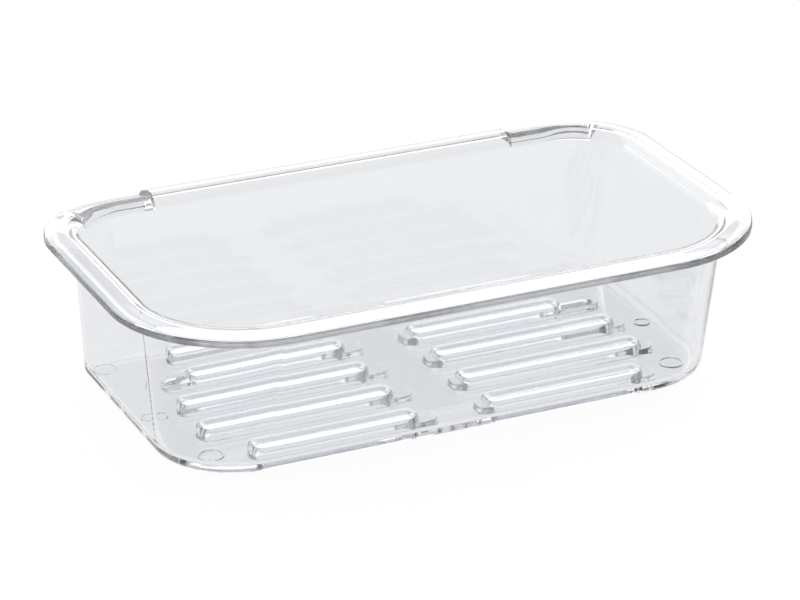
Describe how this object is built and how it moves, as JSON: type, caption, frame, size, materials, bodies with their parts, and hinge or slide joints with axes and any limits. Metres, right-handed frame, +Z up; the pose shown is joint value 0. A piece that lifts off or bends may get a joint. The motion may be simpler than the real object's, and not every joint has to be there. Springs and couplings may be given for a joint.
{
  "type": "soap dish",
  "caption": "Clear moulded soap tray with a crowned rim flange, hollow draining ribs in its floor and hanger recesses in the back of the rim.",
  "frame": {"origin": "on the surface that the dish rests on, under the middle of the rim", "axes": "+X along the dish's length, +Y to the back, where it hangs, +Z up"},
  "size_m": [0.16, 0.0964, 0.0404],
  "materials": {
    "clear_plastic": "water-clear, polished by the mould"
  },
  "bodies": {
    "root": {"dish_body": "clear_plastic"}
  },
  "joints": []
}
